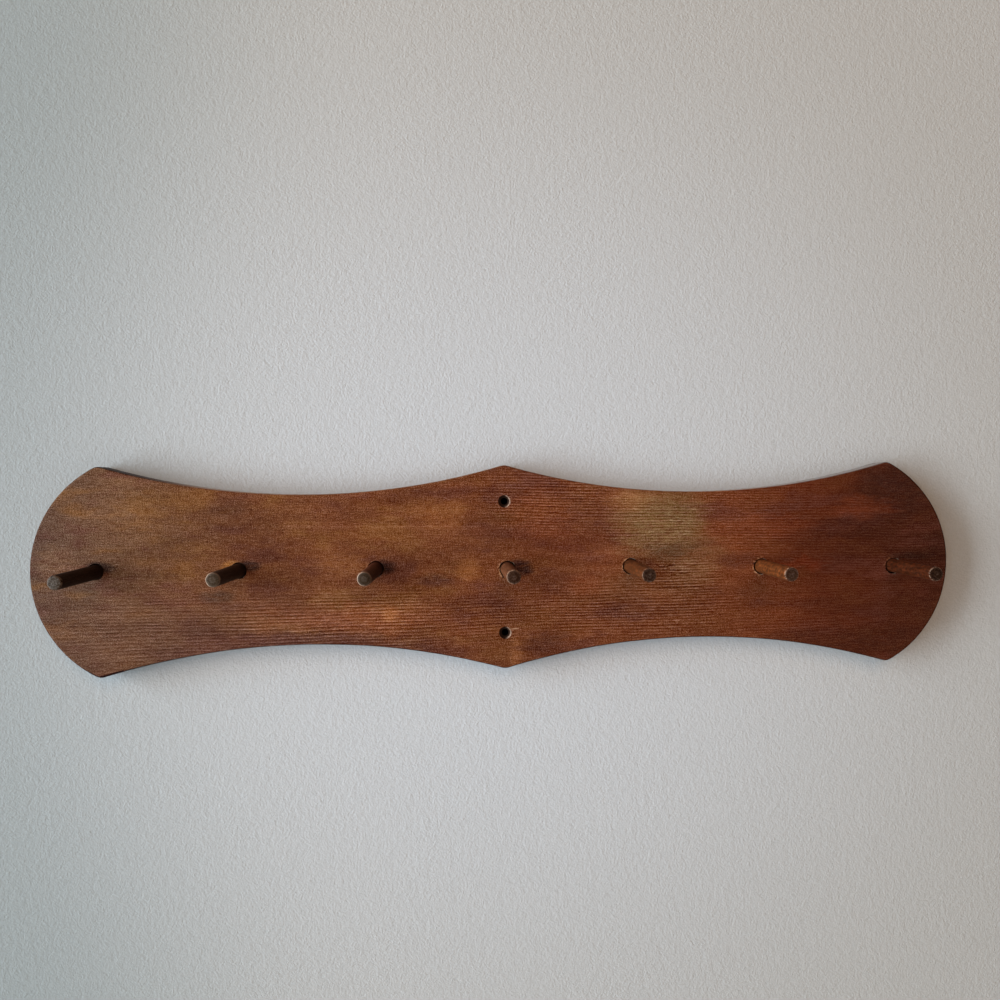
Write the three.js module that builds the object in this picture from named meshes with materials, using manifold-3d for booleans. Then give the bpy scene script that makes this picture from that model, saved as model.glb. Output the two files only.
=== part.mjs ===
// Peg rack: one scalloped softwood plank with seven plain dowel pegs glued into it.
// Millimetres. +X runs along the plank to the right, +Z is up, and the wall is the plane y = 0.
// The origin is the middle of the plank's back face, and the pegs stand out towards -Y.

import * as THREE from 'three';
import { mergeVertices } from 'three/addons/utils/BufferGeometryUtils.js';
import Module from 'manifold-3d';

const wasm = await Module();
wasm.setup();

// Plank
const cornerSpan = 702;       // between the corners where the long edges meet the round ends
const endBulge = 57;          // how far each round end stands out past its corners
const endHeight = 184;        // from the upper corner to the lower one, at each end
const pointHeight = 182;      // from the upper middle point to the lower one
const hollowDepth = 25.5;     // how deep each of the four hollows is cut into the long edges
const plankThickness = 18;
const edgeEase = 1.8;         // rounding of the plank's front and back edges
const cornerTrim = 4;         // length of edge that sanding took off on each side of a corner

// Pegs
const pegRootDiameter = 12.7;
const pegTipDiameter = 11.9;
const pegReach = 58;          // how far a peg stands out of the front face
const pegTipEase = 0.7;
const pegEndMargin = 53.5;    // from the plank's end to the first and the last peg
const socketFloor = 5;        // wood left between a socket and the wall
const socketClearance = 0.75; // the sockets are drilled loose, so a dark ring shows round each peg
const socketMouthWear = 0.5;  // width and depth of the worn rim of a socket
const glueGap = 0.3;          // between a peg's end and the bottom of its socket

// Screw holes, one above the other on the middle of the plank
const screwHoleInset = 32.5;  // from the upper or lower point of the outline to the hole
const screwBore = 6;
const screwSeatWidth = 0.9;   // the sloping ring that the screw's head sits on
const screwSeatDepth = 0.8;
const screwSinkWidth = 1.3;   // the counterbore is this much wider than the seat, all round
const screwSinkDepth = 1.5;

// The pegs as they were drilled by hand, left to right: how far each is off its even place along
// the plank and upwards, in mm, and how its axis leans to the right and upwards, in degrees.
const pegsAsDrilled = [
  { along: 1, up: 0.5, leanRight: -0.5, leanUp: -1 },
  { along: 3.5, up: 0, leanRight: -0.5, leanUp: 0 },
  { along: 4, up: -0.5, leanRight: -1.5, leanUp: -0.5 },
  { along: 2.5, up: -2, leanRight: 1.5, leanUp: 1 },
  { along: -4.5, up: -1, leanRight: 0.5, leanUp: -0.5 },
  { along: -2.5, up: -2.5, leanRight: -1, leanUp: 0 },
  { along: 2.5, up: -3.5, leanRight: -1, leanUp: -0.5 },
];

// Fineness of the facets
const hollowSteps = 22;
const bulgeSteps = 26;
const cornerSteps = 3;
const easeSteps = 2;
const roundSides = 32;

const plankLength = cornerSpan + 2 * endBulge;
const socketDepth = plankThickness - socketFloor;
const pastFace = 2;           // how far a cutter runs on past the face that it opens
const sameVertex = 1e-4;      // vertices closer than this are one

const stainedPine = new THREE.MeshStandardMaterial({ color: 0x74401f, roughness: 0.55, metalness: 0 });
const stainedDowel = new THREE.MeshStandardMaterial({ color: 0x5e3319, roughness: 0.6, metalness: 0 });

// Solids: manifold-3d joins and cuts, three.js makes every shape.

function toSolid(geometry) {
  const bare = geometry.clone();
  bare.deleteAttribute('normal');
  bare.deleteAttribute('uv');
  const merged = mergeVertices(bare, sameVertex);
  return new wasm.Manifold(new wasm.Mesh({
    numProp: 3,
    vertProperties: new Float32Array(merged.attributes.position.array),
    triVerts: new Uint32Array(merged.index.array),
  }));
}

function toGeometry(solid) {
  const mesh = solid.getMesh();
  const geometry = new THREE.BufferGeometry();
  geometry.setAttribute('position', new THREE.BufferAttribute(new Float32Array(mesh.vertProperties), 3));
  geometry.setIndex(new THREE.BufferAttribute(new Uint32Array(mesh.triVerts), 1));
  geometry.computeVertexNormals();
  return geometry;
}

// A solid of revolution about an axis that points out of the wall, towards -Y.
// Each profile point is [radius, distance out along the axis], from the wall side outwards.
function turned(profile) {
  const points = profile.map(([radius, out]) => new THREE.Vector2(radius, out));
  const geometry = new THREE.LatheGeometry(points, roundSides);
  geometry.rotateZ(Math.PI);
  return geometry;
}

// Outline of the plank, seen from the front, with x along it and y up

// Points from one corner to the next on an arc that bows to the left of the way it runs by `bow`.
function arcPoints(from, to, bow, steps) {
  const chord = new THREE.Vector2().subVectors(to, from);
  const half = chord.length() / 2;
  const left = new THREE.Vector2(-chord.y, chord.x).normalize();
  const radius = (half * half + bow * bow) / (2 * bow);
  const middle = new THREE.Vector2().addVectors(from, to).multiplyScalar(0.5);
  const centre = middle.addScaledVector(left, bow - radius);
  const start = new THREE.Vector2().subVectors(from, centre);
  const halfTurn = Math.asin(half / radius);
  const points = [];
  for (let i = 0; i <= steps; i += 1) {
    const turn = -2 * halfTurn * (i / steps);
    points.push(start.clone().rotateAround(new THREE.Vector2(), turn).add(centre));
  }
  return points;
}

// Takes `length` off the start of a run of points.
function trimStart(points, length) {
  const rest = points.slice();
  let left = length;
  while (left > rest[0].distanceTo(rest[1])) {
    left -= rest[0].distanceTo(rest[1]);
    rest.shift();
  }
  rest[0] = rest[0].clone().lerp(rest[1], left / rest[0].distanceTo(rest[1]));
  return rest;
}

function trimBothEnds(points, length) {
  return trimStart(trimStart(points, length).reverse(), length).reverse();
}

function plankOutline() {
  const cornerX = cornerSpan / 2;
  const cornerY = endHeight / 2;
  const pointY = pointHeight / 2;
  const lowerLeft = new THREE.Vector2(-cornerX, -cornerY);
  const lowerPoint = new THREE.Vector2(0, -pointY);
  const lowerRight = new THREE.Vector2(cornerX, -cornerY);
  const upperRight = new THREE.Vector2(cornerX, cornerY);
  const upperPoint = new THREE.Vector2(0, pointY);
  const upperLeft = new THREE.Vector2(-cornerX, cornerY);

  const runs = [
    arcPoints(lowerLeft, lowerPoint, hollowDepth, hollowSteps),
    arcPoints(lowerPoint, lowerRight, hollowDepth, hollowSteps),
    arcPoints(lowerRight, upperRight, -endBulge, bulgeSteps),
    arcPoints(upperRight, upperPoint, hollowDepth, hollowSteps),
    arcPoints(upperPoint, upperLeft, hollowDepth, hollowSteps),
    arcPoints(upperLeft, lowerLeft, -endBulge, bulgeSteps),
  ];

  // Each corner is softened by a small curve between the trimmed runs on its two sides.
  const outline = [];
  runs.forEach((run, i) => {
    const corner = run[0];
    const before = trimBothEnds(runs[(i + runs.length - 1) % runs.length], cornerTrim);
    const trimmed = trimBothEnds(run, cornerTrim);
    const softened = new THREE.QuadraticBezierCurve(before[before.length - 1], corner, trimmed[0]);
    outline.push(...softened.getPoints(cornerSteps).slice(1), ...trimmed.slice(1));
  });
  return new THREE.Shape(outline);
}

function plankBlank() {
  const geometry = new THREE.ExtrudeGeometry(plankOutline(), {
    depth: plankThickness - 2 * edgeEase,
    bevelEnabled: true,
    bevelThickness: edgeEase,
    bevelSize: edgeEase,
    bevelOffset: -edgeEase,
    bevelSegments: easeSteps,
  });
  geometry.translate(0, 0, edgeEase);
  geometry.rotateX(Math.PI / 2);
  return geometry;
}

// Where each peg goes. The frame of a station has its origin on the front face and -Y out along the peg.

function pegStation(drilled, index) {
  const pitch = (plankLength - 2 * pegEndMargin) / (pegsAsDrilled.length - 1);
  const evenX = pegEndMargin - plankLength / 2 + index * pitch;
  const station = new THREE.Object3D();
  station.position.set(evenX + drilled.along, -plankThickness, drilled.up);
  station.rotation.x = THREE.MathUtils.degToRad(-drilled.leanUp);
  station.rotation.z = THREE.MathUtils.degToRad(drilled.leanRight);
  station.updateMatrix();
  return station;
}

function pegGeometry() {
  const rootRadius = pegRootDiameter / 2;
  const tipRadius = pegTipDiameter / 2;
  const foot = glueGap - socketDepth;
  const easeMiddle = pegTipEase * (1 - Math.SQRT1_2); // how far in the rounding is at half way
  return turned([
    [0, foot],
    [rootRadius - pegTipEase, foot],
    [rootRadius, foot + pegTipEase],
    [rootRadius, 0],
    [tipRadius, pegReach - pegTipEase],
    [tipRadius - easeMiddle, pegReach - easeMiddle],
    [tipRadius - pegTipEase, pegReach],
    [0, pegReach],
  ]);
}

function socketCutter() {
  const radius = pegRootDiameter / 2 + socketClearance;
  return turned([
    [0, -socketDepth],
    [radius, -socketDepth],
    [radius, -socketMouthWear],
    [radius + socketMouthWear + pastFace, pastFace],
    [0, pastFace],
  ]);
}

function screwHoleCutter() {
  const boreRadius = screwBore / 2;
  const seatRadius = boreRadius + screwSeatWidth;
  const sinkRadius = seatRadius + screwSinkWidth;
  const pastBack = -plankThickness - pastFace;
  return turned([
    [0, pastBack],
    [boreRadius, pastBack],
    [boreRadius, -screwSinkDepth - screwSeatDepth],
    [seatRadius, -screwSinkDepth],
    [sinkRadius, -screwSinkDepth],
    [sinkRadius, pastFace],
    [0, pastFace],
  ]);
}

function plank(stations) {
  let solid = toSolid(plankBlank());
  for (const station of stations) {
    solid = solid.subtract(toSolid(socketCutter().applyMatrix4(station.matrix)));
  }
  for (const side of [1, -1]) {
    const height = side * (pointHeight / 2 - screwHoleInset);
    const cutter = screwHoleCutter().translate(0, -plankThickness, height);
    solid = solid.subtract(toSolid(cutter));
  }
  const mesh = new THREE.Mesh(toGeometry(solid), stainedPine);
  mesh.name = 'board';
  return mesh;
}

function peg(station, index) {
  const mesh = new THREE.Mesh(pegGeometry(), stainedDowel);
  mesh.name = `peg_${index + 1}`;
  mesh.position.copy(station.position);
  mesh.rotation.copy(station.rotation);
  return mesh;
}

const stations = pegsAsDrilled.map(pegStation);

const pegRack = new THREE.Group();
pegRack.name = 'peg_rack';
pegRack.add(plank(stations));
stations.forEach((station, index) => pegRack.add(peg(station, index)));

export default pegRack;
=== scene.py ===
import math

import bpy
import numpy as np
from mathutils import Matrix, Vector, geometry, noise


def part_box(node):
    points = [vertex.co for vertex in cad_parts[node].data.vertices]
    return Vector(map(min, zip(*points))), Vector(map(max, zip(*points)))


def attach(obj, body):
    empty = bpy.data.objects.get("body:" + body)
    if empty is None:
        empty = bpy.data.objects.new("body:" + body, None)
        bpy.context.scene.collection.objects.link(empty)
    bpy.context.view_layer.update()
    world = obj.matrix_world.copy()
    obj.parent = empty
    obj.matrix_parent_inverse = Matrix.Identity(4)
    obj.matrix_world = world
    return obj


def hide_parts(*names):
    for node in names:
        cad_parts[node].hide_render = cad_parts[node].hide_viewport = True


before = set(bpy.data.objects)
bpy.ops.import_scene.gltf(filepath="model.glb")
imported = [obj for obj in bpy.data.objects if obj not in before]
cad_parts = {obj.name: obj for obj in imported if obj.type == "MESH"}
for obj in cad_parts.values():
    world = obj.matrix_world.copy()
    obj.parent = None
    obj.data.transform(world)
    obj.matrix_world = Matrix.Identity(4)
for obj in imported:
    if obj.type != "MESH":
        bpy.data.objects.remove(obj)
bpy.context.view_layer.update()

# Lengths are in millimetres and angles in degrees, unless a name says otherwise.
# X runs along the plank to the right, Z is up, and the wall is the plane y = 0.

MM = 0.001
PEG_NODES = sorted(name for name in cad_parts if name.startswith("peg_"))

# Plank, as in the CAD source
END_BULGE = 57
END_HEIGHT = 184
POINT_HEIGHT = 182
HOLLOW_DEPTH = 25.5
CORNER_TRIM = 4
FRONT_EASE = 1.8
BACK_EASE = 1.8
SCREW_HOLE_INSET = 32.5
SCREW_HOLE_Z = POINT_HEIGHT / 2 - SCREW_HOLE_INSET
SCREW_BORE_RADIUS = 3.0
SCREW_SEAT_RADIUS = 3.9
SCREW_SINK_RADIUS = 5.2
SCREW_SINK_DEPTH = 1.5
SCREW_BORE_DEPTH = 2.3

# Pegs and sockets, as in the CAD source
PEG_ROOT_RADIUS = 6.35
PEG_TIP_RADIUS = 5.95
SOCKET_RADIUS = 7.1
SOCKET_DEPTH = 13

board_low, board_high = (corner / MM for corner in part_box("board"))
FRONT = board_low.y
HALF_LENGTH = board_high.x


# The curve of screen colours
SRGB_OFFSET = 0.055
SRGB_GAMMA = 2.4
SRGB_STRAIGHT_END = 0.04045
SRGB_STRAIGHT_SLOPE = 12.92


def srgb(red, green, blue):
    """A colour as it is seen on a screen, 0 to 255, as the linear colour that a shader takes."""
    def linear(value):
        value /= 255
        if value <= SRGB_STRAIGHT_END:
            return value / SRGB_STRAIGHT_SLOPE
        return ((value + SRGB_OFFSET) / (1 + SRGB_OFFSET)) ** SRGB_GAMMA
    return (linear(red), linear(green), linear(blue), 1.0)


def shown(red, green, blue):
    """A colour as it is seen on a screen, 0 to 255, for mixing before it is made linear."""
    return (red / 255, green / 255, blue / 255, 1.0)


def smooth_step(low, high, value):
    share = min(1.0, max(0.0, (value - low) / (high - low)))
    return share * share * (3 - 2 * share)


# The grey of the grain, the least that a shown wood colour falls to, and the dark of an arris, which
# is partly stain and partly painted shade
COOL_GREY = (0.94, 1.04, 1.16)
DARKEST_WOOD = (0.012, 0.008, 0.006)
ARRIS_STAIN_AND_SHADE = (34, 21, 14)


# Shader formulas

class Field:
    """A shader value that is written as a formula."""

    def __init__(self, tree, socket):
        self.tree = tree
        self.socket = socket

    def __add__(self, other):
        return self.tree.math("ADD", self, other)

    def __sub__(self, other):
        return self.tree.math("SUBTRACT", self, other)

    def __rsub__(self, other):
        return self.tree.math("SUBTRACT", other, self)

    def __mul__(self, other):
        return self.tree.math("MULTIPLY", self, other)

    def __truediv__(self, other):
        return self.tree.math("DIVIDE", self, other)

    __radd__ = __add__
    __rmul__ = __mul__


class Tree:
    """The nodes of one material. The methods that stand in formulas give back a Field."""

    def __init__(self, name):
        self.material = bpy.data.materials.new(name)
        self.material.use_nodes = True
        self.nodes = self.material.node_tree.nodes
        self.links = self.material.node_tree.links
        self.nodes.clear()

    def put(self, socket, value):
        if isinstance(value, Field):
            self.links.new(value.socket, socket)
        else:
            socket.default_value = value

    def node(self, kind, inputs=(), **settings):
        made = self.nodes.new(kind)
        for name, value in settings.items():
            setattr(made, name, value)
        for key, value in dict(inputs).items():
            self.put(made.inputs[key], value)
        return made

    def math(self, operation, first, second=0.0):
        made = self.node("ShaderNodeMath", {0: first, 1: second}, operation=operation)
        return Field(self, made.outputs[0])

    def distance(self, x, z):
        """How far a point is from the origin of x and z."""
        return self.math("SQRT", x * x + z * z)

    def place(self):
        """The three parts of the point's place in its own object, in millimetres."""
        coordinates = self.node("ShaderNodeTexCoord")
        scaled = self.node(
            "ShaderNodeVectorMath",
            {0: Field(self, coordinates.outputs["Object"]), "Scale": 1 / MM},
            operation="SCALE",
        )
        parts = self.node("ShaderNodeSeparateXYZ", {0: Field(self, scaled.outputs[0])})
        return [Field(self, parts.outputs[i]) for i in range(3)]

    def normal(self):
        """The parts of the surface's direction, bump left out."""
        made = self.node("ShaderNodeTexCoord")
        parts = self.node("ShaderNodeSeparateXYZ", {0: Field(self, made.outputs["Normal"])})
        return [Field(self, parts.outputs[i]) for i in range(3)]

    def vector(self, x, y, z):
        made = self.node("ShaderNodeCombineXYZ", {0: x, 1: y, 2: z})
        return Field(self, made.outputs[0])

    def noise(self, vector, detail=2.0, roughness=0.5):
        """Smooth noise about 0.5."""
        made = self.node(
            "ShaderNodeTexNoise",
            {"Vector": vector, "Scale": 1.0, "Detail": detail, "Roughness": roughness},
        )
        return Field(self, made.outputs[0])

    def uneven(self, vector, detail=2.0, roughness=0.5):
        """Smooth noise about 0."""
        return self.noise(vector, detail, roughness) - 0.5

    def span(self, value, low, high, to_low=0.0, to_high=1.0):
        """Value from low..high, smoothly, to to_low..to_high, and no further."""
        made = self.node(
            "ShaderNodeMapRange",
            {0: value, 1: low, 2: high, 3: to_low, 4: to_high},
            interpolation_type="SMOOTHSTEP",
        )
        return Field(self, made.outputs[0])

    def ramp(self, value, stops):
        """A colour from (place, colour) stops. The first two are the outer ones."""
        made = self.node("ShaderNodeValToRGB", {0: value})
        elements = made.color_ramp.elements
        for i, (where, colour) in enumerate(stops):
            element = elements[i] if i < 2 else elements.new(where)
            element.position = where
            element.color = colour
        return Field(self, made.outputs[0])

    def mix(self, share, first, second, blend="MIX"):
        made = self.node("ShaderNodeMix", data_type="RGBA", blend_type=blend, clamp_factor=True)
        self.put(made.inputs[0], share)
        self.put(made.inputs[6], first)
        self.put(made.inputs[7], second)
        return Field(self, made.outputs[2])

    def vector_math(self, operation, first, second=None, scale=1.0):
        inputs = {0: first, "Scale": scale} if second is None else {0: first, 1: second}
        made = self.node("ShaderNodeVectorMath", inputs, operation=operation)
        return Field(self, made.outputs[0])

    def linear(self, colour, factor, grey):
        """A shown colour times a factor, with grey added, as the linear colour that a shader takes."""
        if not isinstance(colour, Field):
            colour = colour[:3]
        # Light grain is a little cooler than dark grain.
        cool_grey = self.vector_math("SCALE", COOL_GREY, scale=grey)
        varied = self.vector_math("ADD", self.vector_math("SCALE", colour, scale=factor), cool_grey)
        kept = self.vector_math("MAXIMUM", varied, DARKEST_WOOD)
        lifted = self.vector_math("ADD", kept, (SRGB_OFFSET, SRGB_OFFSET, SRGB_OFFSET))
        scaled = self.vector_math("SCALE", lifted, scale=1 / (1 + SRGB_OFFSET))
        made = self.node("ShaderNodeGamma", {"Color": scaled, "Gamma": SRGB_GAMMA})
        return Field(self, made.outputs[0])

    def bump(self, height):
        """The surface direction for a height in millimetres."""
        made = self.node("ShaderNodeBump", {"Height": height, "Distance": MM, "Strength": 1.0})
        return Field(self, made.outputs[0])

    def finish(self, **inputs):
        sockets = {name.replace("_", " "): value for name, value in inputs.items()}
        shader = self.node("ShaderNodeBsdfPrincipled", sockets)
        output = self.node("ShaderNodeOutputMaterial")
        self.links.new(shader.outputs[0], output.inputs[0])
        return self.material


# Plank wood

# Marks on the front face: middle x and z, half width, half height, colour, strength
FACE_MARKS = [
    # The bleached patch, its light upper corner and its dark foot
    (142, 38, 44, 34, (130, 103, 66), 0.85),
    (172, 10, 34, 18, (118, 84, 54), 0.6),
    (170, -9, 24, 13, (128, 94, 64), 0.55),
    (110, 57, 20, 11, (150, 100, 60), 0.45),
    (150, 12, 26, 8, (74, 54, 42), 0.45),
    # Rubbed spots
    (-32, -2, 11, 11, (142, 88, 46), 0.75),
    (-102, -41, 8, 6, (164, 108, 58), 0.9),
    (9, -77, 5, 18, (140, 88, 52), 0.7),
    # The light band low on the left and the dark one under it
    (-140, -42, 95, 13, (144, 84, 50), 0.5),
    (-165, -70, 130, 14, (80, 46, 37), 0.65),
    # Dark smudges
    (35, -71, 26, 14, (72, 36, 26), 0.6),
    (-62, -11, 18, 6, (72, 42, 34), 0.6),
    (40, -13, 26, 11, (80, 42, 32), 0.45),
    (-240, 56, 18, 12, (84, 50, 34), 0.5),
    (-251, -22, 15, 6, (74, 52, 40), 0.6),
    (50, 24, 48, 11, (84, 36, 22), 0.45),
    (300, 30, 50, 9, (54, 24, 14), 0.4),
    (358, 66, 36, 26, (48, 23, 14), 0.65),
    # Warm and light places
    (330, 50, 30, 10, (116, 50, 20), 0.5),
    (270, -1, 26, 7, (118, 46, 20), 0.5),
    (242, 34, 40, 12, (112, 50, 24), 0.5),
    (30, 48, 32, 22, (132, 68, 32), 0.45),
    (-144, 5, 22, 12, (132, 84, 44), 0.6),
    (-238, 4, 9, 5, (150, 98, 44), 0.9),
    # A painted shadow at the root of peg 1
    (-349, 5, 13, 5, (46, 31, 24), 0.9),
    # More warm and light places
    (-184, 50, 26, 12, (122, 76, 42), 0.4),
    (214, 31, 36, 18, (118, 62, 34), 0.6),
    (70, -17, 20, 10, (124, 66, 38), 0.5),
    (140, -22, 50, 14, (116, 72, 42), 0.5),
    # Painted shadows cast by the pegs: right of pegs 4, 2 and 3, and above peg 7
    (13, -1, 12, 8, (46, 27, 26), 0.85),
    (-224, 4, 11, 5, (46, 28, 22), 0.9),
    (-105, 2, 9, 6, (42, 24, 21), 0.85),
    (374, 5, 22, 4, (40, 20, 13), 0.5),
    # Other uneven places of the stain
    (-45, 26, 40, 24, (130, 78, 46), 0.4),
    (-384, 8, 18, 16, (128, 94, 66), 0.5),
    (212, 3, 20, 8, (74, 38, 25), 0.6),
    (330, -72, 110, 16, (56, 26, 15), 0.5),
    (-205, -61, 44, 8, (82, 47, 38), 0.5),
    (196, 44, 22, 6, (86, 44, 30), 0.5),
    (-60, 50, 26, 14, (132, 82, 40), 0.5),
    (-132, 30, 30, 7, (128, 80, 42), 0.4),
]

# Where the growth rings show on the front face, laid out as the marks are
RINGED_PLACES = [
    (-290, -50, 110, 36, 0.55),
    (-200, -50, 60, 26, 0.85),
    (-130, -48, 110, 30, 1.0),
    (-20, -45, 40, 24, 0.8),
    (40, 62, 66, 32, 0.9),
    (130, 38, 60, 24, 0.8),
    (240, 40, 80, 40, 0.6),
    (110, -38, 110, 28, 0.9),
    (158, -12, 44, 20, 1.0),
    (340, 10, 90, 60, 0.4),
    (260, -50, 100, 34, 0.4),
]

# Cracks, torn fibres and scratches on the front face: x and z of both ends, half width, and
# how much lighter they are, in tenths of full brightness. The dark ones are below 0.
SCORES = [
    (136.2, 0.6, 140.8, -2.1, 0.6, -1.9),
    (140.5, -2.0, 147.5, -1.3, 0.6, -2.0),
    (147.0, -1.3, 154.5, 0.2, 0.6, -2.0),
    (142.6, -4.1, 159.0, -5.2, 0.45, -1.2),
    (163.6, -2.2, 173.7, -0.1, 0.5, -1.3),
    (157.2, -8.1, 167.3, -7.3, 0.5, -1.4),
    (149.9, -8.9, 154.5, -9.1, 0.6, -1.3),
    (139.8, -15.0, 150.8, -15.2, 0.4, -0.9),
    (142.5, -19.8, 159.0, -19.9, 0.4, -1.1),
    (138.0, -21.4, 159.9, -21.7, 0.4, -0.9),
    (170.0, -20.2, 180.1, -20.3, 0.45, -1.2),
    (140.0, -0.4, 143.0, -0.5, 0.6, 1.0),
    (151.7, 0.8, 154.2, 0.6, 0.7, 1.1),
    (165.5, 0.3, 172.8, 1.2, 0.6, 0.8),
    (157.2, -1.9, 166.4, -1.0, 0.6, 0.7),
    (149.0, -2.9, 161.8, -3.6, 0.5, 0.5),
    (152.6, -6.8, 165.5, -6.0, 0.5, 0.8),
    (134.3, -13.8, 150.8, -14.1, 0.45, 0.9),
    (143.5, -18.5, 167.3, -19.0, 0.4, 0.7),
    (130.7, -22.5, 154.4, -22.8, 0.5, 1.0),
    (169.1, -19.0, 176.4, -19.3, 0.4, 0.6),
    (-53.2, 62.3, -48.0, 60.1, 0.5, 1.3),
    (-338.9, 5.9, -333.9, 7.3, 0.5, 1.3),
    (-340.7, 1.6, -337.3, 3.0, 0.5, 0.9),
    (-315, 39.2, -21.7, 36.4, 0.5, 0.45),
    (122, 39.7, 330, 41.5, 0.5, 0.4),
    # A dark line along the lower edge at the left corner
    (-371, -80.5, -352, -90.3, 0.8, -3.0),
    (-351, -90.4, -331, -85.5, 1.1, -3.0),
]


def face_patch(t, x, z, middle_x, middle_z, half_width, half_height, strength):
    """Strength inside a soft oval, 0 outside it."""
    soft_rim = 1.6
    along = (x - middle_x) / half_width
    up = (z - middle_z) / half_height
    return t.span(along * along + up * up, soft_rim, 0.0, 0.0, strength)


def score(t, x, z, wobble, start_x, start_z, end_x, end_z, half_width, strength):
    """Strength along a thin wavering line between two points, 0 beside it."""
    soft_end = 1
    half_length = (end_x - start_x) / 2
    slope = (end_z - start_z) / (end_x - start_x)
    along = t.math("ABSOLUTE", x - (start_x + half_length))
    off = t.math("ABSOLUTE", z - wobble - x * slope - (start_z - slope * start_x))
    in_length = t.span(along, half_length + soft_end, half_length - soft_end)
    return in_length * t.span(off, half_width * 1.3, half_width * 0.4, 0.0, strength)


def plank_wood(socket_middles):
    """Stained pine. Noise is looked up at the place divided by the size of the noise's grain."""
    t = Tree("stained_pine")
    x, y, z = t.place()
    _, out_y, out_z = t.normal()

    # The pith lay far below the plank, so the growth rings run along it.
    ring_pitch = 2.63
    pith_depth = 420
    pith_back = 60
    drift_reach = 9
    ripple_reach = 1.3
    season_reach = 1.8
    narrowing_rate = 0.0003
    across = t.distance(z + pith_depth, y - pith_back)
    drift = t.uneven(t.vector(x / 240, y / 90, z / 80))
    ripple = t.uneven(t.vector(x / 60, y / 30, z / 16), detail=1.0)
    seasons = t.uneven(t.vector(across / 11, 3.0, 0.0), detail=1.0)
    narrowing = z * (x + z) * narrowing_rate
    rings = (
        across + narrowing + drift * drift_reach + ripple * ripple_reach + seasons * season_reach
    ) / ring_pitch
    phase = t.math("FRACT", rings)
    year = t.math("FLOOR", rings)
    latewood = t.span(phase, 0.45, 0.8) * t.span(phase, 1.0, 0.9)
    ridge = t.span(phase, 0.0, 0.12) * t.span(phase, 0.36, 0.16)
    year_strength = t.span(t.noise(t.vector(x / 34, year * 3.7, 0.0), detail=4.0), 0.22, 0.68)
    ridge_strength = t.span(t.noise(t.vector(x / 24, year * 5.3, 8.0), detail=4.0), 0.25, 0.72)

    streaks = t.uneven(t.vector(x / 60, rings * 0.35, 0.0), detail=3.0, roughness=0.55)
    fibres = t.uneven(t.vector(x / 8, y / 2, z / 0.75), detail=1.0, roughness=0.6)
    speckle = t.uneven(t.vector(x / 0.78, y / 0.78, z / 0.78), detail=0.0)
    weave = t.uneven(t.vector(x / 0.75, 9.0, z / 7), detail=1.0, roughness=0.6)
    blotch = t.uneven(t.vector(x / 62, y / 60, z / 34), detail=3.0, roughness=0.55)
    tint = t.uneven(t.vector(x / 60 + 31, y / 60, z / 22), detail=3.0, roughness=0.6)

    # Places have frayed rims and are worn through in flecks, so they are looked up at a shifted
    # point, which is shifted less for small marks.
    fray = t.uneven(t.vector(x / 30, 2.0, z / 3.2), detail=3.0, roughness=0.6)
    swell = t.uneven(t.vector(x / 22, 5.0, z / 14), roughness=0.6)
    flecks = t.noise(t.vector(x / 9, 8.0, z / 2.4), detail=3.0, roughness=0.7)
    on_front = t.span(y, -6, -12)
    cover = t.span(flecks, 0.32, 0.6, 0.45, 1.0) * on_front
    shifted = (x + fray * 55 + speckle * 10, z + swell * 26 + speckle * 5)
    nudged = (x + fray * 14 + speckle * 6, z + swell * 6 + speckle * 3)

    lined = 0.12
    for place in RINGED_PLACES:
        lined = t.math("MAXIMUM", lined, face_patch(t, *shifted, *place))

    # Colour along the plank, from its left end to its right end. Its greyer left end is partly painted
    # sheen.
    tone = t.ramp(
        (x + drift * 60) / (2 * HALF_LENGTH) + 0.5,
        [
            (0.00, shown(89, 64, 49)),
            (1.00, shown(60, 27, 13)),
            (0.10, shown(104, 71, 46)),
            (0.20, shown(104, 61, 33)),
            (0.35, shown(107, 60, 32)),
            (0.52, shown(103, 56, 30)),
            (0.62, shown(108, 60, 34)),
            (0.70, shown(106, 58, 31)),
            (0.78, shown(101, 51, 26)),
            (0.86, shown(83, 37, 17)),
            (0.95, shown(70, 31, 14)),
        ],
    )
    ochre = t.span(tint, 0.0, 0.16) * t.span(x, 120, -200, 0.12, 0.58)
    tone = t.mix(ochre, tone, shown(122, 80, 37))
    plum = t.span(tint, 0.0, -0.16) * 0.5
    tone = t.mix(plum, tone, shown(84, 44, 34))
    low_left = t.span(z, 0, -50) * t.span(x, -60, -240, 0.0, 0.5)
    tone = t.mix(low_left, tone, shown(98, 65, 48))
    small_mark = 24
    for place_x, place_z, half_width, half_height, colour, strength in FACE_MARKS:
        where = nudged if half_width < small_mark else shifted
        share = face_patch(t, *where, place_x, place_z, half_width, half_height, strength)
        tone = t.mix(share * cover, tone, shown(*colour))

    # The drill left chips round the sockets, most of them on the left of each.
    chips_reach = 3.2
    chips_start = 0.8
    chipped = t.noise(t.vector(x / 2.8, 6.0, z / 2.2), roughness=0.6)
    pale_chips = t.span(chipped, 0.5, 0.58) * on_front
    dark_chips = t.span(chipped, 0.42, 0.36) * on_front
    for middle, peg in zip(socket_middles, PEGS):
        off_x = x - middle.x
        off = t.distance(off_x, z - middle.y)
        near = t.span(off, SOCKET_RADIUS + chips_reach, SOCKET_RADIUS + chips_start)
        rim = near * t.span(off_x, 3, -5, 0.0, peg["chips"])
        tone = t.mix(rim * pale_chips, tone, shown(166, 122, 88))
        tone = t.mix(rim * dark_chips, tone, shown(40, 20, 12))

    wobble = t.uneven(t.vector(x / 3.5, 4.0, 1.0)) * 1.6
    scores = 0.0
    for line in SCORES:
        scores = score(t, x, z, wobble, *line) + scores
    scores = scores * on_front

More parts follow.
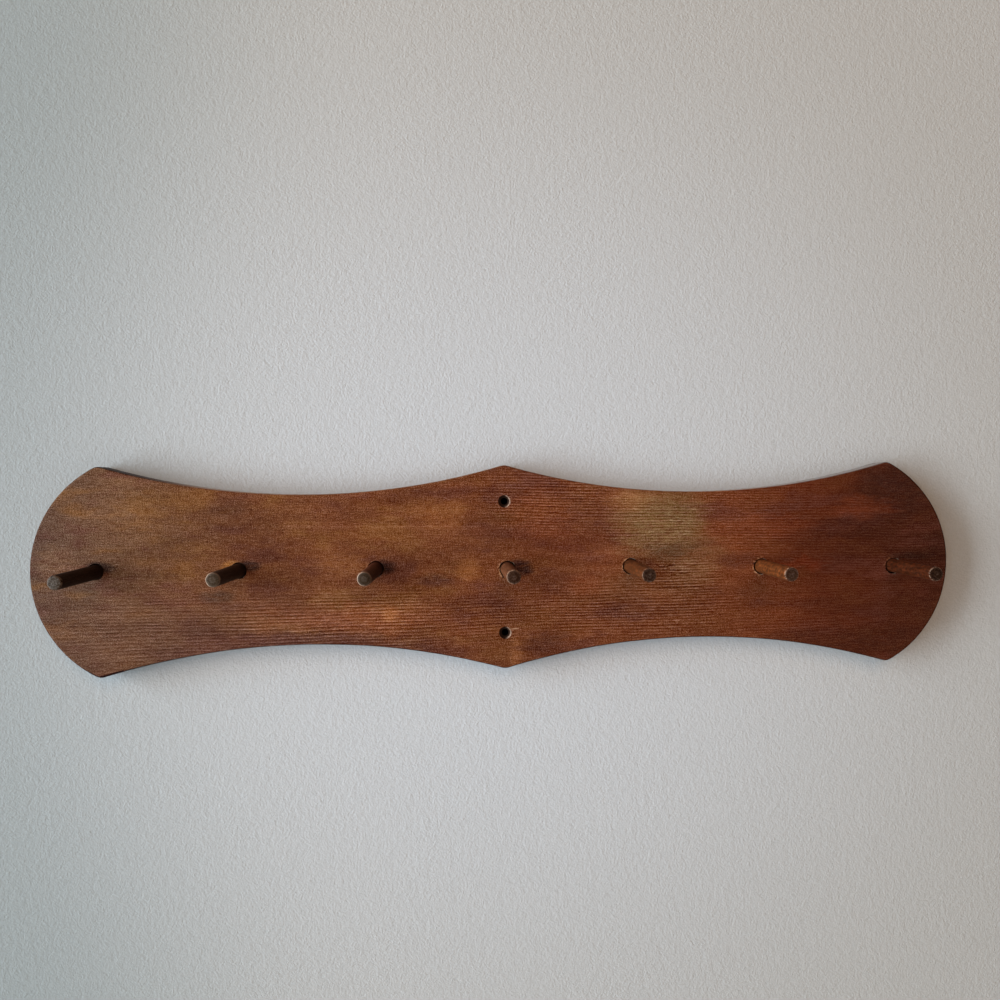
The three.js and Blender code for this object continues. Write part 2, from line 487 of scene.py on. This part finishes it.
    # The grain is weaker on the right, and the streaks and the weave are weaker among clear rings.
    right = t.span(x, 150, 330)
    grainy = (1.0 - right * 0.42) * (1.0 + lined * 0.12)
    factor = 1.0 + streaks * (0.22 - lined * 0.12) + blotch * 0.34
    threads = weave * (0.22 - lined * 0.05) * (1.0 - low_left * 1.4) * (1.0 - right * 0.4)
    grain = grainy * (speckle * 0.46 + fibres * 0.27 + threads)
    bands = streaks * (0.1 - right * 0.03 - lined * 0.06)
    ring_lines = (1.0 - right * 0.4) * lined * (
        ridge * ridge_strength * 0.18 - latewood * year_strength * 0.16 + 0.014
    )
    colour = t.linear(tone, factor, grain + bands + ring_lines + scores * 0.1)

    # The arris is darker, partly from stain and partly as painted shade, most where it does not face
    # up.
    arris_stain_and_shade = t.span(out_y, -0.95, -0.78) * t.span(out_z, 0.1, 0.35, 0.85, 0.1)
    colour = t.mix(arris_stain_and_shade, colour, srgb(*ARRIS_STAIN_AND_SHADE))

    # Painted sheen: a cool grey added to the colour, strongest on the left, in place of the window's
    # reflection
    cool_sheen_tint = (0.78, 1.0, 1.2)
    painted_sheen = t.span(x, 60, -460, 0.0022, 0.0088)
    colour = t.vector_math("ADD", colour, t.vector_math("SCALE", cool_sheen_tint, scale=painted_sheen))

    height = ridge * lined * 0.02 - latewood * 0.01 + fibres * 0.02 + speckle * 0.02 + scores * 0.12
    roughness = t.span(streaks, -0.2, 0.3, 0.46, 0.6)
    return t.finish(
        Base_Color=colour, Roughness=roughness, Normal=t.bump(height), Specular_IOR_Level=0.0
    )


def sawn_edge():
    """The plank's edge, sawn and sanded, with the end grain where it runs across the plank."""
    t = Tree("sawn_pine_edge")
    x, y, z = t.place()
    out_x, _, out_z = t.normal()
    rings = t.uneven(t.vector(x / 60, y / 1.4, z / 2.2), detail=3.0, roughness=0.6)
    pores = t.uneven(t.vector(x / 1.2, y / 1.2, z / 1.2), roughness=0.6)
    # Towards the left end the long edges are painted nearly black, as painted shade on edges that face
    # away from the window.
    long_edge = t.mix(t.span(x, -250, -330), shown(126, 92, 68), shown(40, 27, 19))
    # The upper edge at the right end is greyer: bare wood, with a painted reflection of the pale wall
    # on it.
    bare_wood_and_painted_reflection = t.span(x, 180, 300) * t.span(z, 55, 70)
    long_edge = t.mix(bare_wood_and_painted_reflection, long_edge, shown(94, 79, 71))
    end_grain = t.span(t.math("ABSOLUTE", out_x), 0.3, 0.95)
    tone = t.mix(end_grain, long_edge, shown(70, 45, 32))
    # The front arris is darkened by stain and painted shade, most where it does not face up; the back
    # arris is darkened as painted shade where the plank meets the wall.
    front_arris_stain_and_shade = t.span(y, FRONT + 1.4, FRONT + 0.6) * t.span(out_z, 0.1, 0.35, 1.0, 0.1)
    back_arris_painted_shade = t.span(y, -6.0, -4.0)
    arris_stain_and_shade = t.math("MAXIMUM", front_arris_stain_and_shade, back_arris_painted_shade)
    tone = t.mix(arris_stain_and_shade * 0.85, tone, shown(*ARRIS_STAIN_AND_SHADE))
    colour = t.linear(tone, 1.0 + rings * 0.5, pores * 0.14)
    height = rings * 0.1 + pores * 0.08
    roughness = t.span(x, -260, -320, 0.3, 0.9)
    return t.finish(
        Base_Color=colour, Roughness=roughness, Normal=t.bump(height), Specular_IOR_Level=0.2
    )


def raw_wood():
    """The wood inside the drilled holes: pale chips at the mouth, and painted shade further in, nearly
    black.
    """
    t = Tree("drilled_pine")
    x, y, z = t.place()
    out_z = t.normal()[2]
    grain = t.noise(t.vector(x / 2.5, y / 0.8, z / 1.1), detail=3.0, roughness=0.6)
    depth = y - FRONT + (grain - 0.5) * 0.8
    in_screw_hole = t.span(t.math("ABSOLUTE", z), 40, 44)

    # In the screw holes, the mouth is painted dark as painted shade, except a painted lit rim on its
    # right side.
    pale = t.ramp(grain, [(0.35, srgb(84, 62, 50)), (0.62, srgb(166, 138, 120))])
    off_axis = t.distance(x, t.math("ABSOLUTE", z) - SCREW_HOLE_Z)
    painted_lit_rim = t.span(x, -0.5, 2.5) * t.span(off_axis, 4.2, 4.8)
    pale = t.mix(in_screw_hole * (1.0 - painted_lit_rim), pale, srgb(44, 31, 25))
    reach = 0.8 + in_screw_hole * 1.2

    # Deep in, the wood is painted nearly black as painted shade. In the sockets on the left this
    # painted shade is browner, and clumps of dirt break the dark of the others.
    deep_painted_shade = t.mix(t.span(x, -60, -90), srgb(6, 4, 3), srgb(46, 29, 21))
    clumps = t.span(t.noise(t.vector(x / 2.4, 3.0, z / 2.4), detail=1.0), 0.5, 0.58)
    deep_painted_shade = t.mix(clumps * 0.8 * (1.0 - in_screw_hole), deep_painted_shade, srgb(84, 52, 32))
    # In the middle socket, the wall that does not face down is painted light brown, as painted light
    # where the peg's shadow falls.
    middle_socket = t.span(t.math("ABSOLUTE", x), 60, 40) * (1.0 - in_screw_hole)
    painted_light_in_socket = middle_socket * t.span(out_z, -0.6, -0.1)
    deep_painted_shade = t.mix(painted_light_in_socket, deep_painted_shade, srgb(130, 84, 58))
    colour = t.mix(t.span(depth - reach, 0.0, 0.5), pale, deep_painted_shade)
    return t.finish(
        Base_Color=colour, Roughness=0.8, Normal=t.bump(grain * 0.1), Specular_IOR_Level=0.0
    )


def fresh_wood():
    """Wood that was torn after the staining."""
    t = Tree("torn_pine")
    x, y, z = t.place()
    grain = t.noise(t.vector(x / 6, y / 0.5, z / 0.5))
    colour = t.ramp(grain, [(0.3, srgb(150, 100, 72)), (0.7, srgb(212, 178, 146))])
    return t.finish(Base_Color=colour, Roughness=0.7, Specular_IOR_Level=0.2)


def dowel_wood(name, seed, peg):
    """Dowel wood, with its grain along the object's own Z axis and end grain on its tip."""
    t = Tree(name)
    x, y, z = t.place()
    out_x, _, facing = t.normal()
    side_light_paint = peg["side_light_paint"]
    grain = t.uneven(t.vector(x / 1.1 + seed, y / 1.1, z / 16), detail=3.0, roughness=0.65)
    mottle = t.uneven(t.vector(x / 3 + seed, y / 3, z / 2.6), detail=3.0, roughness=0.6)
    pores = t.uneven(t.vector(x / 1.1 + seed, y / 1.1, z / 1.1), roughness=0.7)

    # The side is painted darker on its right, as painted shade.
    painted_side_shade = 1.0 - t.span(out_x, -0.2, 0.9) * side_light_paint
    body_factor = (1.0 + grain * 0.7 + mottle * peg["mottle"]) * painted_side_shade
    side = t.linear(shown(*peg["body"]), body_factor, grain * 0.1 + pores * 0.12)

    # The tip's end grain, with one darker ring in it
    ring_radius = 3.3
    ring_reach = 1.3
    off_ring = t.math("ABSOLUTE", t.distance(x, y) - ring_radius)
    ring = t.span(off_ring, ring_reach, 0.0, 0.0, -0.06)
    # The end is painted lighter on its left, as painted light.
    tip_grey = pores * peg["tip_pores"] + ring - x * side_light_paint * 0.03
    end = t.linear(shown(*peg["tip"]), 1.0 + mottle * 0.4, tip_grey)
    colour = t.mix(t.span(facing, 0.8, 0.97), side, end)

    # The rim between side and tip is worn down to paler wood, and is painted paler still on its left,
    # as painted highlight.
    flecked = t.span(pores + mottle, -0.1 - side_light_paint, 0.1 - side_light_paint)
    wear_and_painted_highlight = t.span(facing, 0.1, 0.4) * t.span(facing, 0.98, 0.85) * flecked
    wear_and_painted_highlight = wear_and_painted_highlight * t.span(out_x, 0.2, -0.5, 1.0 - side_light_paint * 2, 1.0)
    colour = t.mix(wear_and_painted_highlight * peg["rim"], colour, srgb(156, 132, 113))
    height = grain * 0.1 + pores * 0.16
    return t.finish(
        Base_Color=colour, Roughness=0.55, Normal=t.bump(height), Specular_IOR_Level=0.07
    )


# Shapes

# The materials of the plank, in this order
FACE_SLOT, HOLE_SLOT, EDGE_SLOT, TORN_SLOT = range(4)

# Edges that turn by more than this stay sharp.
SHARP_ANGLE = 38


def make_object(name, points, faces, materials, face_slots=None, place=None):
    mesh = bpy.data.meshes.new(name)
    mesh.from_pydata([Vector(p) * MM for p in points], [], faces)
    for material in materials:
        mesh.materials.append(material)
    if face_slots is not None:
        mesh.polygons.foreach_set("material_index", face_slots)
    mesh.polygons.foreach_set("use_smooth", [True] * len(mesh.polygons))
    mesh.set_sharp_from_angle(angle=math.radians(SHARP_ANGLE))
    mesh.validate()
    made = bpy.data.objects.new(name, mesh)
    bpy.context.scene.collection.objects.link(made)
    if place is not None:
        made.matrix_world = place
    return made


def arc(start, end, bow, steps):
    """Points from start to end on an arc that bows to the left by bow."""
    chord = end - start
    half = chord.length / 2
    left = Vector((-chord.y, chord.x)).normalized()
    radius = (half * half + bow * bow) / (2 * bow)
    centre = (start + end) / 2 + left * (bow - radius)
    half_turn = math.asin(half / radius)
    turns = [-2 * half_turn * i / steps for i in range(steps + 1)]
    return [centre + Matrix.Rotation(turn, 2) @ (start - centre) for turn in turns]


def trim(run, length):
    """A run of points with that length taken off each end."""
    for _ in range(2):
        left = length
        while left > (run[1] - run[0]).length:
            left -= (run[1] - run[0]).length
            run = run[1:]
        run = [run[0].lerp(run[1], left / (run[1] - run[0]).length)] + run[1:]
        run = run[::-1]
    return run


def plank_outline():
    """The plank's edge as seen from the front, anticlockwise, as points of x and z."""
    hollow_steps = 110
    bulge_steps = 84
    corner_steps = 7
    end_runs = (2, 5)
    corner_x = HALF_LENGTH - END_BULGE
    corner_z = END_HEIGHT / 2
    point_z = POINT_HEIGHT / 2
    corners = [
        Vector((-corner_x, -corner_z)),
        Vector((0, -point_z)),
        Vector((corner_x, -corner_z)),
        Vector((corner_x, corner_z)),
        Vector((0, point_z)),
        Vector((-corner_x, corner_z)),
    ]
    runs = []
    for i, corner in enumerate(corners):
        is_end = i in end_runs
        bow = -END_BULGE if is_end else HOLLOW_DEPTH
        steps = bulge_steps if is_end else hollow_steps
        runs.append(arc(corner, corners[(i + 1) % len(corners)], bow, steps))
    points = []
    for i, run in enumerate(runs):
        before = trim(runs[i - 1], CORNER_TRIM)[-1]
        trimmed = trim(run, CORNER_TRIM)
        for k in range(1, corner_steps):
            share = k / corner_steps
            points.append(before.lerp(run[0], share).lerp(run[0].lerp(trimmed[0], share), share))
        points.extend(trimmed)
    return points


def outward(points):
    """The direction out of a closed anticlockwise outline at each of its points."""
    directions = []
    for i, point in enumerate(points):
        along = (points[(i + 1) % len(points)] - points[i - 1]).normalized()
        directions.append(Vector((along.y, -along.x)))
    return directions


def peg_axis(node):
    """The middle of a peg's foot and of its tip."""
    end_band = 0.4
    points = [v.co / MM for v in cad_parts[node].data.vertices]
    middles = []
    for level in (max(p.y for p in points), min(p.y for p in points)):
        ring = [p for p in points if abs(p.y - level) < end_band]
        low = Vector([min(p[i] for p in ring) for i in range(3)])
        high = Vector([max(p[i] for p in ring) for i in range(3)])
        middles.append((low + high) / 2)
    return middles


class Socket:
    """A blind hole for a peg: its middle on the front face and its slope into the wood."""

    def __init__(self, node, number, gap_angle):
        foot, tip = peg_axis(node)
        axis = (tip - foot).normalized()
        self.number = number
        self.gap_angle = math.radians(gap_angle)
        self.slope = Vector((axis.x, axis.z)) / axis.y
        self.middle = Vector((foot.x, foot.z)) + self.slope * (FRONT - foot.y)

    def radius(self, angle, depth):
        """The bore is wide on one side of the peg, and its mouth is chipped."""
        widest_gap = 0.5
        least_wear = 0.1
        chip_depth = 1.1
        mouth_depth = 1.0
        chips_round = 3.2
        gap = widest_gap * math.cos(angle - self.gap_angle)
        place = (math.cos(angle) * chips_round, math.sin(angle) * chips_round, self.number * 7.3)
        mouth = least_wear + chip_depth * max(0.0, noise.noise(Vector(place)))
        return SOCKET_RADIUS + gap + mouth * smooth_step(mouth_depth, 0.0, depth)


def relief(x, z):
    """How far the front face stands out of its plane."""
    wave_height = 0.06
    ridge_height = 0.04
    wave = wave_height * noise.noise(Vector((x / 70, z / 25, 3.1)))
    ridge = ridge_height * noise.noise(Vector((x / 110, z / 4, 7.7)))
    return wave + ridge


class Solid:
    """Points and faces of a piece while it is being made."""

    def __init__(self):
        self.points = []
        self.faces = []
        self.slots = []

    def add_points(self, points):
        first = len(self.points)
        self.points.extend(points)
        return list(range(first, len(self.points)))

    def add_face(self, indices, slot=0):
        self.faces.append(indices)
        self.slots.append(slot)

    def join_loops(self, first, second, slot=0):
        """A strip of faces between two loops of equal length.

        It faces to the right of the way they run, with the second loop up.
        """
        count = len(first)
        for i in range(count):
            j = (i + 1) % count
            self.add_face([first[i], first[j], second[j], second[i]], slot)


def crossings(points, loop):
    """Whether each of the points, rows of x and z, lies in a closed loop."""
    odd = np.zeros(len(points), bool)
    for a, b in zip(loop, loop[1:] + loop[:1]):
        if a.y == b.y:
            continue
        spans = (a.y > points[:, 1]) != (b.y > points[:, 1])
        odd ^= spans & (points[:, 0] < a.x + (b.x - a.x) * (points[:, 1] - a.y) / (b.y - a.y))
    return odd


def fill_face(solid, loops, inner, height, flip):
    """Triangles between an outer loop and hole loops, through the inner points, all as (x, z)."""
    known = [i for loop in loops for i in loop]
    flat = [Vector((solid.points[i].x, solid.points[i].z)) for i in known]
    edges = []
    for loop in loops:
        first = len(edges)
        edges += [(first + i, first + (i + 1) % len(loop)) for i in range(len(loop))]
    keep_inside = 1
    same_point = 1e-6
    made = geometry.delaunay_2d_cdt(flat + inner, edges, [], keep_inside, same_point)
    points, triangles, origins = made[0], made[2], made[3]
    indices = []
    for point, origin in zip(points, origins):
        if origin and origin[0] < len(known):
            indices.append(known[origin[0]])
        else:
            indices += solid.add_points([Vector((point.x, height(point.x, point.y), point.y))])
    middles = np.array([
        [sum(points[i][k] for i in triangle) / 3 for k in (0, 1)] for triangle in triangles
    ])
    in_hole = np.zeros(len(triangles), bool)
    first = len(loops[0])
    for loop in loops[1:]:
        in_hole |= crossings(middles, flat[first:first + len(loop)])
        first += len(loop)
    for triangle, open_here in zip(triangles, in_hole):
        if not open_here:
            corners = [indices[i] for i in triangle]
            solid.add_face(corners[::-1] if flip else corners)


def grid_points(outline, holes, step_x, step_z, margin):
    """Points in staggered rows inside the outline, clear of it and of the round holes."""
    columns = np.arange(-HALF_LENGTH, HALF_LENGTH, step_x)
    rows = np.arange(-END_HEIGHT / 2, END_HEIGHT / 2, step_z)
    x, z = np.meshgrid(columns, rows)
    x[::2] += step_x / 2
    points = np.stack([x.ravel(), z.ravel()], axis=1)
    points = points[crossings(points, outline)]
    for corner in outline:
        points = points[np.hypot(points[:, 0] - corner.x, points[:, 1] - corner.y) > margin]
    for middle, radius in holes:
        points = points[np.hypot(points[:, 0] - middle.x, points[:, 1] - middle.y) > radius + margin]
    return [Vector(p) for p in points]


def round_loop(middle, radius_at, y, count):
    """Points of a ring round the middle, anticlockwise as seen from the front."""
    loop = []
    for i in range(count):
        angle = 2 * math.pi * i / count
        radius = radius_at(angle)
        x = middle.x + radius * math.cos(angle)
        z = middle.y + radius * math.sin(angle)
        loop.append(Vector((x, y, z)))
    return loop


def add_splinter(solid, start, end, half_width, height, slot):
    """A thin raised sliver on the front face, pointed at its start and broken off at its end."""
    along = end - start
    side = Vector((-along.y, along.x)).normalized() * half_width
    foot_depth = 0.3
    sunk = FRONT + foot_depth
    outline = [
        start,
        start + along * 0.5 - side * 0.7,
        end - side,
        end + side * 0.6,
        start + along * 0.6 + side,
    ]
    base = [Vector((p.x, sunk, p.y)) for p in outline]
    ridge = [Vector((p.x, FRONT - height, p.y)) for p in (start + along * 0.2, start + along * 0.96)]
    b = solid.add_points(base)
    r = solid.add_points(ridge)
    for corners in (
        (b[0], b[1], r[0]), (b[1], r[1], r[0]), (b[1], b[2], r[1]), (b[2], b[3], r[1]),
        (b[3], b[4], r[1]), (b[4], r[0], r[1]), (b[4], b[0], r[0]), (b[4], b[3], b[2], b[1], b[0]),
    ):
        solid.add_face(list(corners), slot)


def make_board():
    ease_steps = 6
    wall_steps = 4
    hole_sides = 64
    ease_unevenness = 0.3
    mouth_margin = 1.2
    solid = Solid()
    outline = plank_outline()
    away = outward(outline)

    # Edge, from the front face round to the back face
    loops = []

    def edge_loop(inset_at, y_at):
        ring = []
        for point, direction in zip(outline, away):
            wear = 1 + ease_unevenness * noise.noise(Vector((point.x / 40, point.y / 40, 1.7)))
            shifted = point - direction * inset_at(wear)
            ring.append(Vector((shifted.x, y_at(wear), shifted.y)))
        loops.append(solid.add_points(ring))

    for k in range(ease_steps + 1):
        turn = math.pi / 2 * k / ease_steps
        edge_loop(
            lambda wear: FRONT_EASE * wear * (1 - math.sin(turn)),
            lambda wear: FRONT + FRONT_EASE * wear * (1 - math.cos(turn)),
        )
    for k in range(1, wall_steps):
        level = FRONT - FRONT * k / wall_steps
        edge_loop(lambda wear: 0.0, lambda wear: level)
    for k in range(ease_steps + 1):
        turn = math.pi / 2 * (1 - k / ease_steps)
        edge_loop(
            lambda wear: BACK_EASE * (1 - math.sin(turn)),
            lambda wear: -BACK_EASE * (1 - math.cos(turn)),
        )
    for k in range(len(loops) - 1):
        slot = FACE_SLOT if k < ease_steps // 2 else EDGE_SLOT
        solid.join_loops(loops[k], loops[k + 1], slot)

    # Sockets, closed at their floors
    mouths = []
    hole_circles = []
    sockets = [Socket(node, i + 1, PEGS[i]["gap"]) for i, node in enumerate(PEG_NODES)]
    for socket in sockets:
        rings = []
        for depth in (0.0, 0.4, 1.0, SOCKET_DEPTH):
            middle = socket.middle + socket.slope * depth
            ring = round_loop(
                middle, lambda angle: socket.radius(angle, depth), FRONT + depth, hole_sides
            )
            rings.append(solid.add_points(ring))
        for first, second in zip(rings, rings[1:]):
            solid.join_loops(second, first, HOLE_SLOT)
        solid.add_face(rings[-1], HOLE_SLOT)
        mouths.append(rings[0])
        hole_circles.append((socket.middle, SOCKET_RADIUS + mouth_margin))

    # Screw holes, through to the back, as radius and depth from the front face
    sink_mouth_radius = SCREW_SINK_RADIUS + 0.3
    profile = [
        (sink_mouth_radius, 0.0),
        (SCREW_SINK_RADIUS - 0.1, 0.4),
        (SCREW_SINK_RADIUS - 0.3, SCREW_SINK_DEPTH - 0.2),
        (SCREW_SEAT_RADIUS + 0.2, SCREW_SINK_DEPTH),
        (SCREW_BORE_RADIUS, SCREW_BORE_DEPTH),
        (SCREW_BORE_RADIUS, -FRONT),
    ]
    back_mouths = []
    for side in (1, -1):
        middle = Vector((0, side * SCREW_HOLE_Z))
        rings = []
        for radius, depth in profile:
            ring = round_loop(middle, lambda angle: radius, FRONT + depth, hole_sides)
            rings.append(solid.add_points(ring))
        for first, second in zip(rings, rings[1:]):
            solid.join_loops(second, first, HOLE_SLOT)
        mouths.append(rings[0])
        back_mouths.append(rings[-1])
        hole_circles.append((middle, sink_mouth_radius))

    # Faces
    front_outline = [Vector((solid.points[i].x, solid.points[i].z)) for i in loops[0]]
    inner = grid_points(front_outline, hole_circles, step_x=4.0, step_z=2.4, margin=1.6)
    fill_face(solid, [loops[0], *mouths], inner, lambda x, z: FRONT - relief(x, z), flip=False)
    back_outline = [Vector((solid.points[i].x, solid.points[i].z)) for i in loops[-1]]
    screw_circles = hole_circles[len(sockets):]
    inner = grid_points(back_outline, screw_circles, step_x=12.0, step_z=9.0, margin=3.0)
    fill_face(solid, [loops[-1], *back_mouths], inner, lambda x, z: 0.0, flip=True)

    # A splinter that stands out beside the lower screw hole
    splinter_start = Vector((2.4, -55.7))
    splinter_end = Vector((12.3, -54.9))
    add_splinter(solid, splinter_start, splinter_end, half_width=0.75, height=0.5, slot=TORN_SLOT)

    materials = [plank_wood([s.middle for s in sockets]), raw_wood(), sawn_edge(), fresh_wood()]
    board = make_object("plank", solid.points, solid.faces, materials, solid.slots)
    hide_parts("board")
    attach(board, "root")


# The pegs from left to right: colour of the side and of the end, how mottled the side is, how far
# the end is rounded, how worn and pale its rim is, the angle at which the socket stands open, how
# chipped the socket's mouth is, how strongly painted light and shade make the peg darker on its right
# and lighter on the left, and how open the end's pores are. The darker sides of pegs 1 to 3 are
# painted shade: in view are their right sides, which face away from the window.
PEGS = [
    {
        "body": (40, 24, 16), "tip": (78, 70, 63), "mottle": 0.4, "ease": 1.6, "rim": 0.3,
        "gap": 60, "chips": 0.2, "side_light_paint": 0.1, "tip_pores": 0.6,
    },
    {
        "body": (60, 40, 29), "tip": (72, 60, 49), "mottle": 0.6, "ease": 1.2, "rim": 0.9,
        "gap": 20, "chips": 0.4, "side_light_paint": 0.35, "tip_pores": 0.28,
    },
    {
        "body": (84, 46, 31), "tip": (62, 50, 40), "mottle": 0.8, "ease": 1.2, "rim": 1.0,
        "gap": 50, "chips": 0.4, "side_light_paint": 0.4, "tip_pores": 0.22,
    },
    {
        "body": (92, 54, 34), "tip": (58, 39, 29), "mottle": 1.4, "ease": 1.1, "rim": 0.4,
        "gap": 95, "chips": 0.9, "side_light_paint": 0.15, "tip_pores": 0.4,
    },
    {
        "body": (80, 42, 20), "tip": (54, 37, 28), "mottle": 1.6, "ease": 0.9, "rim": 0.4,
        "gap": 165, "chips": 1.0, "side_light_paint": 0.0, "tip_pores": 0.5,
    },
    {
        "body": (92, 48, 22), "tip": (62, 43, 33), "mottle": 1.8, "ease": 0.9, "rim": 0.5,
        "gap": 185, "chips": 1.0, "side_light_paint": 0.0, "tip_pores": 0.5,
    },
    {
        "body": (60, 26, 11), "tip": (43, 27, 17), "mottle": 1.9, "ease": 0.8, "rim": 0.45,
        "gap": 215, "chips": 0.35, "side_light_paint": 0.0, "tip_pores": 0.5,
    },
]


def make_peg(node, number):
    sides = 56
    ring_pitch = 2.0
    foot_ease = 0.7
    ease_steps = 4
    unevenness = 0.1
    nick_depth = 0.35
    peg_data = PEGS[number - 1]
    tip_ease = peg_data["ease"]
    foot, tip = peg_axis(node)
    length = (tip - foot).length
    solid = Solid()

    def ring(distance, share=1.0, inset=0.0):
        radius = PEG_ROOT_RADIUS + (PEG_TIP_RADIUS - PEG_ROOT_RADIUS) * distance / length - inset
        points = []
        for i in range(sides):
            angle = 2 * math.pi * i / sides
            c, s = math.cos(angle), math.sin(angle)
            swelling = Vector((c * 1.4, s * 1.4, distance / 16 + number * 11))
            out = radius + unevenness * noise.noise(swelling)
            if inset:
                nick = Vector((c * 2.6, s * 2.6, number * 5.3))
                out -= max(0.0, nick_depth * noise.noise(nick))
            points.append(Vector((c, s, 0)) * out * share + Vector((0, 0, distance)))
        return solid.add_points(points)

    # From the eased foot, along the side and round the rim, to a slightly domed end
    rings = [ring(0, 0.5), ring(0, 0.9), ring(foot_ease)]
    steps = int((length - 2 * tip_ease) / ring_pitch)
    for k in range(1, steps + 1):
        rings.append(ring(foot_ease + (length - foot_ease - tip_ease) * k / steps))
    for k in range(1, ease_steps + 1):
        turn = math.pi / 2 * k / ease_steps
        drop = tip_ease * (1 - math.sin(turn))
        rings.append(ring(length - drop, inset=tip_ease * (1 - math.cos(turn))))
    rings.append(ring(length + 0.05, 0.6))
    rings.append(ring(length + 0.08, 0.25))
    for first, second in zip(rings, rings[1:]):
        solid.join_loops(first, second)
    solid.add_face(rings[0][::-1])
    solid.add_face(rings[-1])

    material = dowel_wood(f"dowel_wood_{number}", number * 17.0, peg_data)
    turn = (tip - foot).to_track_quat("Z", "Y").to_matrix().to_4x4()
    peg = make_object(
        f"dowel_{number}", solid.points, solid.faces, [material],
        place=Matrix.Translation(foot * MM) @ turn,
    )
    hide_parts(node)
    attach(peg, "root")


make_board()
for peg_number, peg_node in enumerate(PEG_NODES, start=1):
    make_peg(peg_node, peg_number)


# Stage

def seen_from_one_side(name, middle, rim, left_rim, holes=()):
    """A matt rolled paint, with painted falloff of light that darkens it away from the middle and more
    on the left, and black discs of painted shade where the screw holes are.

    It only shows from its front, and the light of lamps behind it passes through.
    """
    stipple_height = 0.36
    fine_height = 0.34
    disc_radius = 5.0
    disc_soft_radius = 5.6
    t = Tree(name)
    x, y, z = t.place()
    stipple = t.noise(t.vector(x / 5.5, y / 5.5, z / 5.5), detail=2.0, roughness=0.6)
    fine = t.noise(t.vector(x / 1.7, y / 1.7, z / 1.7), detail=1.0, roughness=0.6)
    rim = t.mix(t.span(x, -100, -450), rim, left_rim)
    colour = t.mix(t.span(t.distance(x, z), 60, 620), middle, rim)
    colour = t.mix(1.0, colour, t.span(fine, 0.25, 0.75, 0.965, 1.03), blend="MULTIPLY")
    for hole_z in holes:
        painted_shade_disc = t.span(t.distance(x, z - hole_z), disc_soft_radius, disc_radius)
        colour = t.mix(painted_shade_disc, colour, srgb(3, 3, 3))
    height = stipple * stipple_height + fine * fine_height
    matt = t.node("ShaderNodeBsdfDiffuse", {"Color": colour, "Normal": t.bump(height)})
    clear = t.node("ShaderNodeBsdfTransparent")
    facing = t.node("ShaderNodeNewGeometry")
    path = t.node("ShaderNodeLightPath")
    behind = t.math(
        "MAXIMUM", Field(t, facing.outputs["Backfacing"]), Field(t, path.outputs["Is Shadow Ray"])
    )
    choice = t.node("ShaderNodeMixShader", {0: behind})
    t.links.new(matt.outputs[0], choice.inputs[1])
    t.links.new(clear.outputs[0], choice.inputs[2])
    output = t.node("ShaderNodeOutputMaterial")
    t.links.new(choice.outputs[0], output.inputs[0])
    return t.material


def make_sheet(name, corners, material):
    mesh = bpy.data.meshes.new(name)
    mesh.from_pydata(corners, [], [list(range(len(corners)))])
    mesh.materials.append(material)
    sheet = bpy.data.objects.new(name, mesh)
    bpy.context.scene.collection.objects.link(sheet)


def make_stage():
    """The wall just behind the plank and the floor below it, in metres."""
    wall_gap = 0.0005
    wall_reach = 3.0
    floor_level = -0.85
    floor_colour = srgb(198, 197, 195)
    make_sheet(
        "wall",
        [
            (-wall_reach, wall_gap, floor_level),
            (wall_reach, wall_gap, floor_level),
            (wall_reach, wall_gap, wall_reach),
            (-wall_reach, wall_gap, wall_reach),
        ],
        seen_from_one_side(
            "wall_paint", srgb(194, 198, 203), srgb(177, 177, 175), srgb(150, 157, 158),
            (SCREW_HOLE_Z, -SCREW_HOLE_Z),
        ),
    )
    make_sheet(
        "floor",
        [
            (-wall_reach, -wall_reach, floor_level),
            (wall_reach, -wall_reach, floor_level),
            (wall_reach, wall_reach, floor_level),
            (-wall_reach, wall_reach, floor_level),
        ],
        seen_from_one_side("floor_paint", floor_colour, floor_colour, floor_colour),
    )


def make_lamp(name, place, size, power, colour=(1, 1, 1)):
    """A rectangular lamp that points at the origin, with its place and size in metres."""
    lamp = bpy.data.lights.new(name, "AREA")
    lamp.shape = "RECTANGLE"
    lamp.size, lamp.size_y = size
    lamp.energy = power
    lamp.color = colour
    made = bpy.data.objects.new(name, lamp)
    made.location = place
    made.rotation_euler = (-Vector(place)).to_track_quat("-Z", "Y").to_euler()
    made.visible_camera = False
    bpy.context.scene.collection.objects.link(made)


def make_lights():
    """A tall window on the left, its paler surroundings, a warm room and a lamp for the back."""
    world_colour = (0.98, 1.0, 1.02, 1.0)
    world_strength = 0.085
    make_lamp("window", (-6.60, -2.27, 0.25), (2.2, 7.6), 900, (0.90, 1.01, 1.08))
    make_lamp("curtains", (-4.60, -3.73, 0.9), (5.8, 6.6), 130, (0.90, 1.01, 1.09))
    make_lamp("room", (0.4, -2.6, 1.7), (1.9, 1.9), 16.5, (1.78, 0.93, 0.33))
    make_lamp("behind", (1.2, 3.0, 1.6), (2.2, 2.2), 90)
    world = bpy.data.worlds.new("room")
    bpy.context.scene.world = world
    world.use_nodes = True
    background = world.node_tree.nodes["Background"]
    background.inputs["Color"].default_value = world_colour
    background.inputs["Strength"].default_value = world_strength


def make_camera():
    """The photograph's viewpoint, in metres, found from the outline and the pegs."""
    sensor_width = 36
    focal_share = 0.68
    nearest = 0.01
    place = (-0.0362, -0.6197, 0.0716)
    angles = (88.868, 0.451, -3.093)
    lens = bpy.data.cameras.new("camera")
    lens.sensor_width = sensor_width
    lens.lens = focal_share * sensor_width
    lens.clip_start = nearest
    camera = bpy.data.objects.new("camera", lens)
    camera.location = place
    camera.rotation_euler = [math.radians(angle) for angle in angles]
    bpy.context.scene.collection.objects.link(camera)
    bpy.context.scene.camera = camera


make_stage()
make_lights()
make_camera()
bpy.context.scene.view_settings.view_transform = "Standard"
